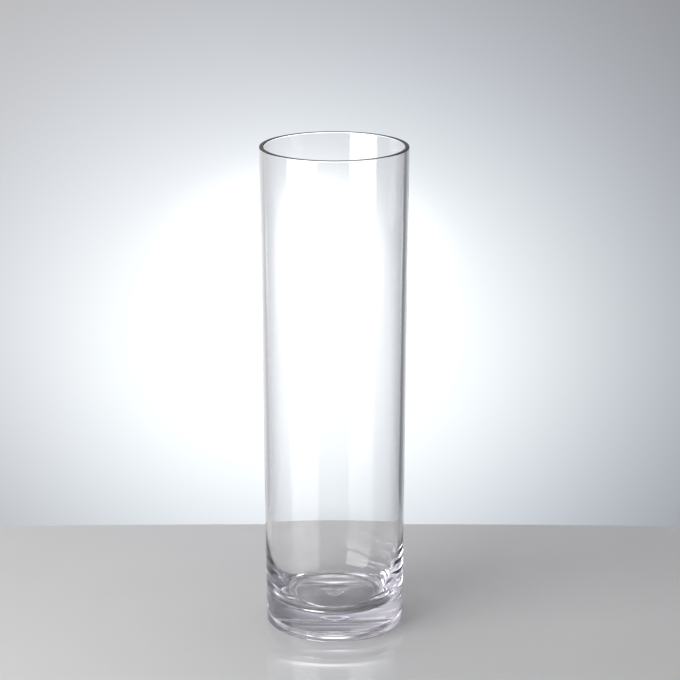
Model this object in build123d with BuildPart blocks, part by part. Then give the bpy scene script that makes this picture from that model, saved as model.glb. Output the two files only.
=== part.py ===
from build123d import *
import math
import os

# Clear cylinder vase, moulded in one piece: thin walls with a slight draft, on a thick solid base.
# Millimetres, +Z up, origin at the centre of the foot, on the plane that it stands on.

# Outside
height = 405.0
rim_diameter = 120.0
foot_diameter = 115.0
foot_edge_width = 0.85
foot_edge_height = 1.0
rim_edge_radius = 0.8

# Inside: the wall grows thicker downwards and runs into the floor in a tall, soft corner
rim_wall = 3.6
low_wall = 4.2
floor_height = 18.4
corner_width = 19.7
corner_height = 61.3

# Hollow under the base: a shallow dome with a steeper bank round it, down to a flat ring to stand on
dome_curve_radius = 230.0
hollow_diameter = 76.8
hollow_lift = 2.45
bank_width = 2.8

# Round gate mark in the middle of the underside, pressed a little way into the glass
mark_diameter = 17.0
mark_depth = 0.5
mark_bank = 1.6
mark_edge_radius = 1.0

# Lengths of the curves' handles, as shares of the curve's own width and height
quarter_round = 0.5523
corner_wall_share = 0.72
corner_floor_share = 0.58
bank_share = 0.35

# Radii worked out from the sizes above
rim_radius = rim_diameter / 2
foot_radius = foot_diameter / 2
hollow_radius = hollow_diameter / 2
mark_radius = mark_diameter / 2
mouth_radius = rim_radius - rim_wall
outside_lean = (rim_radius - foot_radius) / height
corner_top = floor_height + corner_height
corner_top_radius = foot_radius + outside_lean * corner_top - low_wall
floor_radius = corner_top_radius - corner_width
inside_lean = (mouth_radius - corner_top_radius) / (height - corner_top)

# Dome: its centre lies on the axis, and both ends are given as angles from level
hollow_angle = math.acos(hollow_radius / dome_curve_radius)
mark_angle = math.acos(mark_radius / dome_curve_radius)
dome_centre = (0, hollow_lift - dome_curve_radius * math.sin(hollow_angle))
dome_slope = 1 / math.tan(hollow_angle)
mark_top = dome_centre[1] + dome_curve_radius * math.sin(mark_angle) + mark_depth

# Bank between the dome and the foot ring
bank_handle = bank_share * bank_width
ring_inside = (hollow_radius + bank_width, 0)
bank_handle_up = (hollow_radius + bank_handle, hollow_lift - dome_slope * bank_handle)
bank_handle_down = (ring_inside[0] - bank_handle, 0)

# Rounded edge between the foot ring and the outer wall
foot_drop = quarter_round * foot_edge_height
ring_outside = (foot_radius - foot_edge_width, 0)
wall_foot = (foot_radius + outside_lean * foot_edge_height, foot_edge_height)
foot_handle_down = (ring_outside[0] + quarter_round * foot_edge_width, 0)
foot_handle_up = (wall_foot[0] - outside_lean * foot_drop, foot_edge_height - foot_drop)

# Corner between the inner wall and the floor
wall_handle = corner_wall_share * corner_height
corner_start = (corner_top_radius, corner_top)
corner_handle_up = (corner_top_radius - inside_lean * wall_handle, corner_top - wall_handle)
corner_handle_down = (floor_radius + corner_floor_share * corner_width, floor_height)
corner_end = (floor_radius, floor_height)

# Corners of the outline
rim_outside = (rim_radius, height)
rim_inside = (mouth_radius, height)
floor_middle = (0, floor_height)
mark_middle = (0, mark_top)
mark_foot = (mark_radius - mark_bank, mark_top)

with BuildPart() as vase_body:
    with BuildSketch(Plane.XZ) as section:
        with BuildLine() as outline:
            dome_arc = math.degrees(mark_angle - hollow_angle)
            dome = CenterArc(dome_centre, dome_curve_radius, math.degrees(hollow_angle), dome_arc)
            Bezier(dome @ 0, bank_handle_up, bank_handle_down, ring_inside)
            Line(ring_inside, ring_outside)
            Bezier(ring_outside, foot_handle_down, foot_handle_up, wall_foot)
            Polyline(wall_foot, rim_outside, rim_inside, corner_start)
            Bezier(corner_start, corner_handle_up, corner_handle_down, corner_end)
            Polyline(corner_end, floor_middle, mark_middle, mark_foot, dome @ 1)
        make_face()
        rim_corners = section.vertices().group_by(Axis.Y)[-1]
        fillet(rim_corners, rim_edge_radius)
        fillet(section.vertices().sort_by_distance(mark_foot)[0], mark_edge_radius)
        fillet(section.vertices().sort_by_distance(dome @ 1)[0], mark_edge_radius)
    revolve(axis=Axis.Z)

vase_body.part.label = "vase_body"

os.makedirs("parts", exist_ok=True)
export_step(vase_body.part, "parts/vase_body.step")
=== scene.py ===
import math

import bpy
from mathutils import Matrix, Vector


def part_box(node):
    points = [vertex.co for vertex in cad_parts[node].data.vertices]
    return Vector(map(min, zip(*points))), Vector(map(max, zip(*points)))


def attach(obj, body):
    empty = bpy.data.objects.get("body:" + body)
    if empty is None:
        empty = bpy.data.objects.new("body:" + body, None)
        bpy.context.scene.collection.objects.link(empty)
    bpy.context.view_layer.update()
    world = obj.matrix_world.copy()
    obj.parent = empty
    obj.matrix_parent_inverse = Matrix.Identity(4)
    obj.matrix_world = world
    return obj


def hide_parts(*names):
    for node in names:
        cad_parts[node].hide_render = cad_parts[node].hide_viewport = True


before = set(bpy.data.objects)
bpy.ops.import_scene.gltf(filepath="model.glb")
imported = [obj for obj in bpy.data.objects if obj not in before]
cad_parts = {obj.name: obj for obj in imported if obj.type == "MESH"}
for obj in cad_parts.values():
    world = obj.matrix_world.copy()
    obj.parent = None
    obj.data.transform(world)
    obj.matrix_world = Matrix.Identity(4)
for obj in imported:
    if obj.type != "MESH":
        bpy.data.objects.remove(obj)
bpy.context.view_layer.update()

MM = 0.001

# Sizes of the vase. Its height and rim come from the frame, the rest repeats the part's section.
VASE_LOW, VASE_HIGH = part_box("vase_body")
HEIGHT = VASE_HIGH[2] - VASE_LOW[2]
RIM_RADIUS = (VASE_HIGH[0] - VASE_LOW[0]) / 2
FOOT_RADIUS = 57.5 * MM
FOOT_EDGE_WIDTH = 0.85 * MM
FOOT_EDGE_HEIGHT = 1.0 * MM
RIM_EDGE_RADIUS = 0.8 * MM
RIM_WALL = 3.6 * MM
LOW_WALL = 4.2 * MM
FLOOR_HEIGHT = 18.4 * MM
CORNER_WIDTH = 19.7 * MM
CORNER_HEIGHT = 61.3 * MM
CORNER_HANDLE_UP = 0.72
CORNER_HANDLE_DOWN = 0.58
DOME_CURVE = 230.0 * MM
HOLLOW_RADIUS = 38.4 * MM
HOLLOW_LIFT = 2.45 * MM
HOLLOW_BANK = 2.8 * MM
BANK_HANDLE = 0.35
QUARTER_ROUND = 0.5523
MARK_RADIUS = 8.5 * MM
MARK_DEPTH = 0.5 * MM
MARK_BANK = 1.6 * MM
MARK_EDGE_RADIUS = 1.0 * MM

# How many times light may bounce, through glass and off gloss
GLASS_BOUNCES = 24
GLOSSY_BOUNCES = 12

# Fineness of the lathed mesh: turns round the axis, then rows along straight runs and along each curve
SEGMENTS = 276
ROW_HEIGHT = 5.0 * MM
EDGE_ROW = 0.1 * MM
DOME_ROWS = 40
MARK_EDGE_ROWS = 4
BANK_ROWS = 24
FOOT_EDGE_ROWS = 20
RIM_EDGE_ROWS = 8
CORNER_ROWS = 72
ON_AXIS = 1e-9

# Camera: where the photograph was taken from, beside the vase's axis, in front of it and above its foot
CAMERA_SIDE = 0.0046
CAMERA_DISTANCE = 1.748
CAMERA_HEIGHT = 0.761
CAMERA_PITCH = math.radians(17.57)
CAMERA_LENS = 117.9
CAMERA_SENSOR = 36
CAMERA_SHIFT = 0.0618
CAMERA_NEAREST = 0.01

# Middle part of a noise texture's range, which is stretched to the values wanted
NOISE_LOW = 0.3
NOISE_HIGH = 0.7

# Glass: haze is a trace of roughness, wave and peel are relief.
# Noise cells are counted to the metre along X, Y and Z.
GLASS_TINT = (0.62, 0.56, 0.80, 1)
GLASS_TINT_DENSITY = 3.2
GLASS_IOR = 1.5
GLASS_HAZE = 0.012
GLASS_HAZE_CELLS = (45, 45, 18)
GLASS_HAZE_DETAIL = 3
GLASS_WAVE_DEPTH = 0.035 * MM
GLASS_WAVE_CELLS = (38, 38, 16)
GLASS_WAVE_DETAIL = 1
GLASS_PEEL_DEPTH = 0.003 * MM
GLASS_PEEL_CELLS = (260, 260, 200)
GLASS_PEEL_DETAIL = 0

# Light: the room's walls from left to right, then its ceiling, which starts and is full at these heights of
# a unit direction
ROOM_LEFT = (0.50, 0.50, 0.52, 1)
ROOM_MIDDLE = (0.13, 0.13, 0.14, 1)
ROOM_RIGHT = (0.12, 0.12, 0.13, 1)
ROOM_TOP = (0.45, 0.45, 0.46, 1)
ROOM_TOP_FROM = 0.8
ROOM_TOP_TO = 0.99
BACKDROP_DISTANCE = 1.2
BACKDROP_HALF_WIDTH = 3.0
# Light on the backdrop, widest first: colour, then (across, up) of its middle, then its spread (across, up)
BACKDROP_BASE = ((0.06, 0.06, 0.06, 1), (0.00, 0.00), (3.00, 3.00))
BACKDROP_WASH = ((0.24, 0.22, 0.20, 1), (-0.76, 0.61), (0.72, 0.72))
BACKDROP_COOL_GLOW = ((0.52, 0.62, 0.75, 1), (-0.04, -0.13), (0.37, 0.32))
BACKDROP_WARM_GLOW = ((0.40, 0.35, 0.23, 1), (-0.04, -0.13), (0.27, 0.21))
BACKDROP_SPOT = ((2.10, 2.02, 1.94, 1), (-0.04, 0.00), (0.075, 0.056))
# The key's azimuth is counted from the camera's side, towards the left
KEY_AZIMUTH = math.radians(51)
KEY_DISTANCE = 1.2
KEY_LOW = 0.03
KEY_HIGH = 0.93
KEY_WIDTH = 1.12
KEY_RADIANCE = 5.4
OVERHEAD_HEIGHT = 1.5
OVERHEAD_BACK = 0.05
OVERHEAD_SIZE = 0.8
OVERHEAD_RADIANCE = 2.0

# Table
TABLE_PALE = (0.77, 0.77, 0.77, 1)
TABLE_DARK = (0.73, 0.73, 0.73, 1)
TABLE_CLOUD_CELLS = (14, 14, 14)
TABLE_CLOUD_DETAIL = 4
TABLE_SMOOTH = 0.012
TABLE_ROUGH = 0.03
TABLE_RUB_CELLS = (60, 60, 60)
TABLE_RUB_DETAIL = 3
TABLE_GRAIN_DEPTH = 0.001 * MM
TABLE_GRAIN_CELLS = (900, 900, 900)
TABLE_GRAIN_DETAIL = 2
TABLE_IOR = 1.9
TABLE_BACK = 0.214
TABLE_FRONT = 2.0
TABLE_HALF_WIDTH = 2.0
TABLE_BACK_SAG = 0.005
TABLE_SAG_AT = 0.30
TABLE_THICKNESS = 0.02
TABLE_GAP = 0.15 * MM
TABLE_STEPS = 64
TABLE_EDGE = 1.5 * MM
TABLE_EDGE_STEPS = 4


def arc_points(centre, radius, start, end, steps):
    """Points of an arc in the section plane, angles in radians."""
    angles = [start + (end - start) * i / steps for i in range(steps + 1)]
    return [(centre[0] + radius * math.cos(a), centre[1] + radius * math.sin(a)) for a in angles]


def bezier_points(p0, p1, p2, p3, steps):
    """Points of a cubic curve with two handles."""
    points = []
    for i in range(steps + 1):
        t = i / steps
        u = 1 - t
        weights = (u ** 3, 3 * u * u * t, 3 * u * t * t, t ** 3)
        points.append(tuple(sum(w * p[k] for w, p in zip(weights, (p0, p1, p2, p3))) for k in (0, 1)))
    return points


def rounded_corner(before, corner, after, radius, steps):
    """Arc that replaces a corner between two straight runs."""
    corner = Vector(corner)
    to_before = (Vector(before) - corner).normalized()
    to_after = (Vector(after) - corner).normalized()
    half_angle = to_before.angle(to_after) / 2
    bisector = (to_before + to_after).normalized()
    centre = corner + bisector * (radius / math.sin(half_angle))
    first = corner + to_before * (radius / math.tan(half_angle)) - centre
    last = corner + to_after * (radius / math.tan(half_angle)) - centre
    start = math.atan2(first.y, first.x)
    turn = math.remainder(math.atan2(last.y, last.x) - start, 2 * math.pi)
    return arc_points(centre, radius, start, start + turn, steps)


def straight_run(start, end):
    """Points just inside the ends of a straight stretch and evenly between, which keep it flat to the eye."""
    start = Vector(start)
    end = Vector(end)
    inset = (end - start).normalized() * EDGE_ROW
    first = start + inset
    last = end - inset
    count = max(1, math.ceil((last - first).length / ROW_HEIGHT))
    return [tuple(first.lerp(last, i / count)) for i in range(count + 1)]


def vase_section():
    """Half section of the vase as (radius, height) points, from under the base round to the floor."""
    dome_turn = math.asin(HOLLOW_RADIUS / DOME_CURVE)
    dome_centre = (0, HOLLOW_LIFT - DOME_CURVE * math.cos(dome_turn))
    mark_turn = math.asin(MARK_RADIUS / DOME_CURVE)
    dome = arc_points(dome_centre, DOME_CURVE, math.pi / 2 - mark_turn, math.pi / 2 - dome_turn, DOME_ROWS)

    mark_edge = dome[0]
    mark_top = mark_edge[1] + MARK_DEPTH
    mark_foot = (MARK_RADIUS - MARK_BANK, mark_top)
    mark_middle = (0, mark_top)
    bank_handle = BANK_HANDLE * HOLLOW_BANK
    bank_up = (HOLLOW_RADIUS + bank_handle, HOLLOW_LIFT - math.tan(dome_turn) * bank_handle)
    bank_down = (HOLLOW_RADIUS + HOLLOW_BANK - bank_handle, 0)
    ring_inside = (HOLLOW_RADIUS + HOLLOW_BANK, 0)
    ring_outside = (FOOT_RADIUS - FOOT_EDGE_WIDTH, 0)
    wall_lean = (RIM_RADIUS - FOOT_RADIUS) / HEIGHT
    foot_drop = QUARTER_ROUND * FOOT_EDGE_HEIGHT
    wall_foot = (FOOT_RADIUS + wall_lean * FOOT_EDGE_HEIGHT, FOOT_EDGE_HEIGHT)
    foot_up = (wall_foot[0] - wall_lean * foot_drop, wall_foot[1] - foot_drop)
    foot_down = (ring_outside[0] + QUARTER_ROUND * FOOT_EDGE_WIDTH, 0)
    rim_outside = (RIM_RADIUS, HEIGHT)
    rim_inside = (RIM_RADIUS - RIM_WALL, HEIGHT)
    corner_top = FLOOR_HEIGHT + CORNER_HEIGHT
    corner_start = (FOOT_RADIUS + wall_lean * corner_top - LOW_WALL, corner_top)
    floor_radius = corner_start[0] - CORNER_WIDTH
    lean = (rim_inside[0] - corner_start[0]) / (HEIGHT - corner_top)
    drop = CORNER_HANDLE_UP * CORNER_HEIGHT
    corner_up = (corner_start[0] - lean * drop, corner_top - drop)
    corner_down = (floor_radius + CORNER_HANDLE_DOWN * CORNER_WIDTH, FLOOR_HEIGHT)
    corner_end = (floor_radius, FLOOR_HEIGHT)
    floor_middle = (0, FLOOR_HEIGHT)

    bank = bezier_points(dome[-1], bank_up, bank_down, ring_inside, BANK_ROWS)
    foot = bezier_points(ring_outside, foot_down, foot_up, wall_foot, FOOT_EDGE_ROWS)
    lip_outside = rounded_corner(wall_foot, rim_outside, rim_inside, RIM_EDGE_RADIUS, RIM_EDGE_ROWS)
    lip_inside = rounded_corner(rim_outside, rim_inside, corner_start, RIM_EDGE_RADIUS, RIM_EDGE_ROWS)
    corner = bezier_points(corner_start, corner_up, corner_down, corner_end, CORNER_ROWS)

    points = [mark_middle]
    points += straight_run(mark_middle, mark_foot)
    points += rounded_corner(mark_middle, mark_foot, mark_edge, MARK_EDGE_RADIUS, MARK_EDGE_ROWS)
    points += rounded_corner(mark_foot, mark_edge, dome[1], MARK_EDGE_RADIUS, MARK_EDGE_ROWS)
    points += dome[2:]
    points += bank[1:]
    points += straight_run(ring_inside, ring_outside)
    points += foot
    points += straight_run(foot[-1], lip_outside[0])
    points += lip_outside
    points += straight_run(lip_outside[-1], lip_inside[0])
    points += lip_inside
    points += straight_run(lip_inside[-1], corner_start)
    points += corner
    points += straight_run(corner_end, floor_middle)
    points.append(floor_middle)
    return points


def lathe(name, section):
    """Closed mesh of revolution about the vase's axis. The section starts and ends on the axis."""
    axis_x = (VASE_LOW[0] + VASE_HIGH[0]) / 2
    axis_y = (VASE_LOW[1] + VASE_HIGH[1]) / 2
    verts = []
    rings = []
    for radius, height in section:
        turns = [0] if radius < ON_AXIS else [2 * math.pi * i / SEGMENTS for i in range(SEGMENTS)]
        rings.append(range(len(verts), len(verts) + len(turns)))
        z = VASE_LOW[2] + height
        verts += [(axis_x + radius * math.cos(a), axis_y + radius * math.sin(a), z) for a in turns]
    faces = []
    for lower, upper in zip(rings, rings[1:]):
        for i in range(SEGMENTS):
            j = (i + 1) % SEGMENTS
            if len(lower) == 1:
                faces.append((lower[0], upper[j], upper[i]))
            elif len(upper) == 1:
                faces.append((lower[i], lower[j], upper[0]))
            else:
                faces.append((lower[i], lower[j], upper[j], upper[i]))
    mesh = bpy.data.meshes.new(name)
    mesh.from_pydata(verts, [], faces)
    mesh.shade_smooth()
    piece = bpy.data.objects.new(name, mesh)
    bpy.context.scene.collection.objects.link(piece)
    return piece


def noise(nodes, links, place, scale, detail):
    """Noise over a point of the object. Scale is in cells to the metre along X, Y and Z."""
    mapping = nodes.new("ShaderNodeMapping")
    mapping.inputs["Scale"].default_value = scale
    links.new(place, mapping.inputs["Vector"])
    texture = nodes.new("ShaderNodeTexNoise")
    texture.inputs["Scale"].default_value = 1.0
    texture.inputs["Detail"].default_value = detail
    links.new(mapping.outputs[0], texture.inputs["Vector"])
    return texture.outputs["Fac"]


def spread(nodes, links, value, low, high):
    """Noise stretched to run from one value to another."""
    ramp = nodes.new("ShaderNodeMapRange")
    ramp.inputs["From Min"].default_value = NOISE_LOW
    ramp.inputs["From Max"].default_value = NOISE_HIGH
    ramp.inputs["To Min"].default_value = low
    ramp.inputs["To Max"].default_value = high
    links.new(value, ramp.inputs["Value"])
    return ramp.outputs["Result"]


def bump(nodes, links, height, depth, normal=None):
    """Surface relief from a height between 0 and 1, over another relief if there is one."""
    relief = nodes.new("ShaderNodeBump")
    relief.inputs["Strength"].default_value = 1.0
    relief.inputs["Distance"].default_value = depth
    links.new(height, relief.inputs["Height"])
    if normal:
        links.new(normal, relief.inputs["Normal"])
    return relief.outputs["Normal"]


def clear_glass():
    """Clear glass, with a faint violet tint where it is thick."""
    material = bpy.data.materials.new("clear_glass")
    material.use_nodes = True
    nodes = material.node_tree.nodes
    links = material.node_tree.links
    shader = nodes["Principled BSDF"]
    shader.inputs["Base Color"].default_value = (1, 1, 1, 1)
    shader.inputs["IOR"].default_value = GLASS_IOR
    shader.inputs["Transmission Weight"].default_value = 1.0
    place = nodes.new("ShaderNodeTexCoord").outputs["Object"]
    haze = noise(nodes, links, place, GLASS_HAZE_CELLS, GLASS_HAZE_DETAIL)
    links.new(spread(nodes, links, haze, 0, GLASS_HAZE), shader.inputs["Roughness"])
    wave = noise(nodes, links, place, GLASS_WAVE_CELLS, GLASS_WAVE_DETAIL)
    peel = noise(nodes, links, place, GLASS_PEEL_CELLS, GLASS_PEEL_DETAIL)
    waviness = bump(nodes, links, wave, GLASS_WAVE_DEPTH)
    links.new(bump(nodes, links, peel, GLASS_PEEL_DEPTH, waviness), shader.inputs["Normal"])
    tint = nodes.new("ShaderNodeVolumeAbsorption")
    tint.inputs["Color"].default_value = GLASS_TINT
    tint.inputs["Density"].default_value = GLASS_TINT_DENSITY
    links.new(tint.outputs["Volume"], nodes["Material Output"].inputs["Volume"])
    return material


def build_vase():
    """The visible vase, which stands for the CAD solid."""
    vase = lathe("vase_glass", vase_section())
    vase.data.materials.append(clear_glass())
    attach(vase, "root")
    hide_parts("vase_body")


def table_material():
    """Pale grey laminate, glossy enough to mirror what stands on it."""
    material = bpy.data.materials.new("table_top")
    material.use_nodes = True
    nodes = material.node_tree.nodes
    links = material.node_tree.links
    shader = nodes["Principled BSDF"]
    shader.inputs["IOR"].default_value = TABLE_IOR
    place = nodes.new("ShaderNodeTexCoord").outputs["Object"]
    cloud = noise(nodes, links, place, TABLE_CLOUD_CELLS, TABLE_CLOUD_DETAIL)
    tone = nodes.new("ShaderNodeMix")
    tone.data_type = "RGBA"
    tone.inputs["A"].default_value = TABLE_DARK
    tone.inputs["B"].default_value = TABLE_PALE
    links.new(cloud, tone.inputs["Factor"])
    links.new(tone.outputs["Result"], shader.inputs["Base Color"])
    rub = noise(nodes, links, place, TABLE_RUB_CELLS, TABLE_RUB_DETAIL)
    links.new(spread(nodes, links, rub, TABLE_SMOOTH, TABLE_ROUGH), shader.inputs["Roughness"])
    grain = noise(nodes, links, place, TABLE_GRAIN_CELLS, TABLE_GRAIN_DETAIL)
    links.new(bump(nodes, links, grain, TABLE_GRAIN_DEPTH), shader.inputs["Normal"])
    return material


def build_table():
    """Table top whose back edge bows a little."""
    curve = TABLE_BACK_SAG / TABLE_SAG_AT ** 2
    xs = [TABLE_HALF_WIDTH * (2 * i / TABLE_STEPS - 1) for i in range(TABLE_STEPS + 1)]
    top = VASE_LOW[2] - TABLE_GAP
    back = [(x, TABLE_BACK - curve * x * x, top) for x in xs]
    front = [(x, -TABLE_FRONT, top) for x in xs]
    verts = back + front
    n = len(xs)
    faces = [(i + 1, i, n + i, n + i + 1) for i in range(n - 1)]
    mesh = bpy.data.meshes.new("table")
    mesh.from_pydata(verts, [], faces)
    mesh.materials.append(table_material())
    table = bpy.data.objects.new("table", mesh)
    bpy.context.scene.collection.objects.link(table)
    solid = table.modifiers.new("thickness", "SOLIDIFY")
    solid.thickness = TABLE_THICKNESS
    solid.offset = -1
    bevel = table.modifiers.new("edge", "BEVEL")
    bevel.width = TABLE_EDGE
    bevel.segments = TABLE_EDGE_STEPS
    bevel.limit_method = "ANGLE"


def soft_light(name, spot, width, height, radiance):
    """Rectangular softbox that shines straight down until it is turned."""
    data = bpy.data.lights.new(name, "AREA")
    data.shape = "RECTANGLE"
    data.size = width
    data.size_y = height
    data.energy = radiance * math.pi * width * height
    light = bpy.data.objects.new(name, data)
    light.location = spot
    bpy.context.scene.collection.objects.link(light)
    return light


def build_lights():
    """Softbox above the vase, and an upright one in front of it, to the left."""
    above = (0, OVERHEAD_BACK, OVERHEAD_HEIGHT)
    soft_light("overhead_softbox", above, OVERHEAD_SIZE, OVERHEAD_SIZE, OVERHEAD_RADIANCE)
    middle = (KEY_LOW + KEY_HIGH) / 2
    spot = Vector((-KEY_DISTANCE * math.sin(KEY_AZIMUTH), -KEY_DISTANCE * math.cos(KEY_AZIMUTH), middle))
    key = soft_light("key_softbox", spot, KEY_WIDTH, KEY_HIGH - KEY_LOW, KEY_RADIANCE)
    facing = Vector((0, 0, middle)) - spot
    key.rotation_euler = facing.to_track_quat("-Z", "Y").to_euler()
    key.visible_camera = False


def emission_sheet_material(name, layers):
    """Sheet that adds soft round glows to what is behind it. Each fades to nothing from its middle."""
    material = bpy.data.materials.new(name)
    material.use_nodes = True
    nodes = material.node_tree.nodes
    links = material.node_tree.links
    nodes.remove(nodes["Principled BSDF"])
    place = nodes.new("ShaderNodeTexCoord").outputs["Object"]
    light = nodes.new("ShaderNodeBsdfTransparent").outputs[0]
    for colour, (middle_x, middle_z), (spread_x, spread_z) in layers:
        mapping = nodes.new("ShaderNodeMapping")
        mapping.vector_type = "TEXTURE"
        mapping.inputs["Location"].default_value = (middle_x, 0, middle_z)
        mapping.inputs["Scale"].default_value = (spread_x, 1, spread_z)
        links.new(place, mapping.inputs["Vector"])
        square = nodes.new("ShaderNodeVectorMath")
        square.operation = "DOT_PRODUCT"
        links.new(mapping.outputs[0], square.inputs[0])
        links.new(mapping.outputs[0], square.inputs[1])
        half = nodes.new("ShaderNodeMath")
        half.operation = "MULTIPLY"
        half.inputs[1].default_value = -0.5
        links.new(square.outputs["Value"], half.inputs[0])
        fade = nodes.new("ShaderNodeMath")
        fade.operation = "EXPONENT"
        links.new(half.outputs[0], fade.inputs[0])
        emission = nodes.new("ShaderNodeEmission")
        emission.inputs["Color"].default_value = colour
        links.new(fade.outputs[0], emission.inputs["Strength"])
        add = nodes.new("ShaderNodeAddShader")
        links.new(light, add.inputs[0])
        links.new(emission.outputs[0], add.inputs[1])
        light = add.outputs[0]
    links.new(light, nodes["Material Output"].inputs["Surface"])
    return material


def build_backdrop():
    """Pale backdrop behind the vase, with a soft spot of light on it."""
    w = BACKDROP_HALF_WIDTH
    mesh = bpy.data.meshes.new("backdrop")
    mesh.from_pydata([(-w, 0, -w), (w, 0, -w), (w, 0, w), (-w, 0, w)], [], [(0, 1, 2, 3)])
    layers = (BACKDROP_BASE, BACKDROP_WASH, BACKDROP_COOL_GLOW, BACKDROP_WARM_GLOW, BACKDROP_SPOT)
    mesh.materials.append(emission_sheet_material("backdrop", layers))
    sheet = bpy.data.objects.new("backdrop", mesh)
    sheet.location = (0, BACKDROP_DISTANCE, 0)
    bpy.context.scene.collection.objects.link(sheet)


def build_world():
    """Pale room, lighter on the left and overhead."""
    world = bpy.data.worlds.new("studio")
    bpy.context.scene.world = world
    world.use_nodes = True
    nodes = world.node_tree.nodes
    links = world.node_tree.links
    split = nodes.new("ShaderNodeSeparateXYZ")
    links.new(nodes.new("ShaderNodeTexCoord").outputs["Generated"], split.inputs[0])

    def blend(value, low, high, first, second):
        ramp = nodes.new("ShaderNodeMapRange")
        ramp.interpolation_type = "SMOOTHSTEP"
        ramp.inputs["From Min"].default_value = low
        ramp.inputs["From Max"].default_value = high
        links.new(value, ramp.inputs["Value"])
        mix = nodes.new("ShaderNodeMix")
        mix.data_type = "RGBA"
        for socket, colour in (("A", first), ("B", second)):
            if isinstance(colour, tuple):
                mix.inputs[socket].default_value = colour
            else:
                links.new(colour, mix.inputs[socket])
        links.new(ramp.outputs["Result"], mix.inputs["Factor"])
        return mix.outputs["Result"]

    left_half = blend(split.outputs["X"], -1, 0, ROOM_LEFT, ROOM_MIDDLE)
    walls = blend(split.outputs["X"], 0, 1, left_half, ROOM_RIGHT)
    room = blend(split.outputs["Z"], ROOM_TOP_FROM, ROOM_TOP_TO, walls, ROOM_TOP)
    links.new(room, nodes["Background"].inputs["Color"])


def build_camera():
    """Camera at the photograph's place and angle."""
    data = bpy.data.cameras.new("camera")
    data.lens = CAMERA_LENS
    data.sensor_width = CAMERA_SENSOR
    data.shift_y = CAMERA_SHIFT
    data.clip_start = CAMERA_NEAREST
    camera = bpy.data.objects.new("camera", data)
    camera.location = (CAMERA_SIDE, -CAMERA_DISTANCE, VASE_LOW[2] + CAMERA_HEIGHT)
    camera.rotation_euler = (math.pi / 2 - CAMERA_PITCH, 0, 0)
    bpy.context.scene.collection.objects.link(camera)
    bpy.context.scene.camera = camera


build_vase()
build_table()
build_world()
build_backdrop()
build_lights()
build_camera()

scene = bpy.context.scene
scene.view_settings.view_transform = "Standard"
scene.cycles.use_denoising = True
scene.cycles.max_bounces = GLASS_BOUNCES
scene.cycles.transmission_bounces = GLASS_BOUNCES
scene.cycles.glossy_bounces = GLOSSY_BOUNCES
